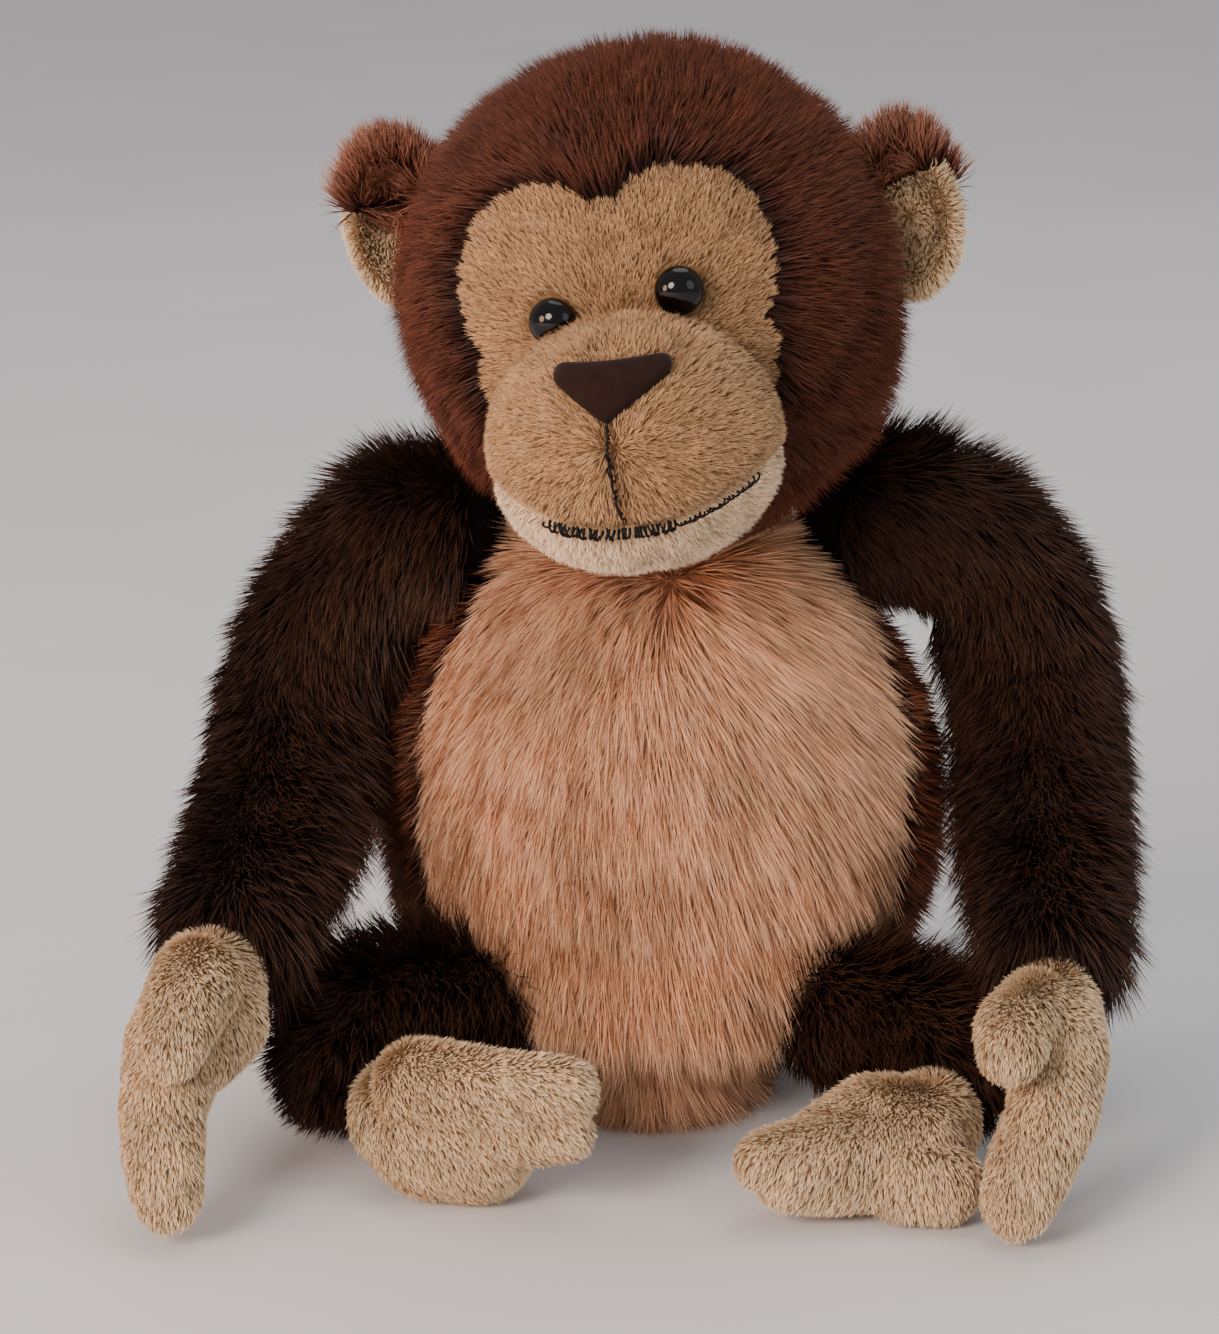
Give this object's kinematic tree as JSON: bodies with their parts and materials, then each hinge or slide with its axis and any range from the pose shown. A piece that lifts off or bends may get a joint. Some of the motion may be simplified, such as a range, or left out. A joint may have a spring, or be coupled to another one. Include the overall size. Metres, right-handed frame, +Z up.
{
  "type": "stuffed monkey",
  "caption": "Sitting plush monkey with a shaggy brown head, tan face, round peach belly, long dark arms and short legs.",
  "frame": {"origin": "middle of the flat seat panel, on the surface that the monkey sits on", "axes": "+Z up, -Y the way the belly faces, +X the monkey's own left side"},
  "size_m": [0.2057, 0.1677, 0.223],
  "materials": {
    "brown_pile": "long pile plush",
    "dark_pile": "long pile plush",
    "peach_pile": "long shaggy pile plush",
    "tan_plush": "short pile plush",
    "cream_plush": "short pile plush",
    "nose_suede": "imitation suede",
    "black_thread": "embroidery thread",
    "eye_plastic": "polished",
    "washer_plastic": "moulded",
    "polyester_fill": "loose fibre filling",
    "cotton_bag": "plain woven lining",
    "bean_pellets": "loose plastic pellets"
  },
  "bodies": {
    "body": {"belly_panel": "peach_pile", "body_side_left": "dark_pile", "body_side_right": "dark_pile", "seat_panel": "dark_pile", "body_stuffing": "polyester_fill", "pellet_bag_top": "cotton_bag", "pellet_bag_cup": "cotton_bag", "pellet_fill": "bean_pellets"},
    "neck": {"neck_stuffing": "polyester_fill"},
    "head": {"head_fur_left": "brown_pile", "head_fur_right": "brown_pile", "head_gusset": "brown_pile", "face_mask": "tan_plush", "muzzle_cover": "tan_plush", "chin_panel": "cream_plush", "nose_patch": "nose_suede", "mouth_stitch": "black_thread", "philtrum_stitch": "black_thread", "eye_left": "eye_plastic", "eye_right": "eye_plastic", "eye_washer_left": "washer_plastic", "eye_washer_right": "washer_plastic", "head_stuffing": "polyester_fill"},
    "ear_left": {"ear_front_left": "tan_plush", "ear_back_left": "brown_pile"},
    "arm_left": {"arm_outer_left": "dark_pile", "arm_inner_left": "dark_pile", "arm_stuffing_left": "polyester_fill"},
    "hand_left": {"hand_back_left": "tan_plush", "hand_palm_left": "tan_plush", "hand_stuffing_left": "polyester_fill"},
    "leg_left": {"leg_outer_left": "dark_pile", "leg_inner_left": "dark_pile", "leg_stuffing_left": "polyester_fill"},
    "foot_left": {"foot_top_left": "tan_plush", "foot_sole_left": "tan_plush", "foot_stuffing_left": "polyester_fill"},
    "ear_right": {"ear_front_right": "tan_plush", "ear_back_right": "brown_pile"},
    "arm_right": {"arm_outer_right": "dark_pile", "arm_inner_right": "dark_pile", "arm_stuffing_right": "polyester_fill"},
    "hand_right": {"hand_back_right": "tan_plush", "hand_palm_right": "tan_plush", "hand_stuffing_right": "polyester_fill"},
    "leg_right": {"leg_outer_right": "dark_pile", "leg_inner_right": "dark_pile", "leg_stuffing_right": "polyester_fill"},
    "foot_right": {"foot_top_right": "tan_plush", "foot_sole_right": "tan_plush", "foot_stuffing_right": "polyester_fill"}
  },
  "joints": [
    {"name": "neck_turn", "type": "hinge", "parent": "body", "child": "neck", "pos_m": [-0.001, -0.004, 0.124], "axis": [0, 0, 1], "range_deg": [-30, 12]},
    {"name": "head_nod", "type": "hinge", "parent": "neck", "child": "head", "pos_m": [-0.001, -0.004, 0.124], "axis": [1, 0, 0], "range_deg": [-12, 10]},
    {"name": "ear_left_fold", "type": "hinge", "parent": "head", "child": "ear_left", "pos_m": [0.04836, -0.01288, 0.18632], "axis": [0.1549, -0.0218, -0.9877], "range_deg": [-20, 35], "stiffness_Nm_per_rad": 0.02},
    {"name": "ear_right_fold", "type": "hinge", "parent": "head", "child": "ear_right", "pos_m": [-0.04884, 0.00078, 0.18596], "axis": [-0.1549, 0.0218, 0.9877], "range_deg": [-20, 35], "stiffness_Nm_per_rad": 0.02},
    {"name": "shoulder_left_lift", "type": "hinge", "parent": "body", "child": "arm_left", "pos_m": [0.043, 0, 0.123], "axis": [-1, 0, 0], "range_deg": [0, 80]},
    {"name": "shoulder_right_lift", "type": "hinge", "parent": "body", "child": "arm_right", "pos_m": [-0.042, 0, 0.1195], "axis": [-1, 0, 0], "range_deg": [0, 80]},
    {"name": "wrist_left_bend", "type": "hinge", "parent": "arm_left", "child": "hand_left", "pos_m": [0.081, -0.071, 0.04], "axis": [-1, 0, 0], "range_deg": [0, 35]},
    {"name": "wrist_right_bend", "type": "hinge", "parent": "arm_right", "child": "hand_right", "pos_m": [-0.09, -0.069, 0.043], "axis": [-1, 0, 0], "range_deg": [0, 35]},
    {"name": "hip_left_lift", "type": "hinge", "parent": "body", "child": "leg_left", "pos_m": [0.039, -0.033, 0.024], "axis": [-1, 0, 0], "range_deg": [0, 18]},
    {"name": "hip_right_lift", "type": "hinge", "parent": "body", "child": "leg_right", "pos_m": [-0.038, -0.033, 0.025], "axis": [-1, 0, 0], "range_deg": [0, 18]},
    {"name": "ankle_left_turn", "type": "hinge", "parent": "leg_left", "child": "foot_left", "pos_m": [0.057, -0.071, 0.016], "axis": [0, 0, 1], "range_deg": [-20, 10]},
    {"name": "ankle_right_turn", "type": "hinge", "parent": "leg_right", "child": "foot_right", "pos_m": [-0.057, -0.07, 0.017], "axis": [0, 0, -1], "range_deg": [-20, 10]}
  ]
}
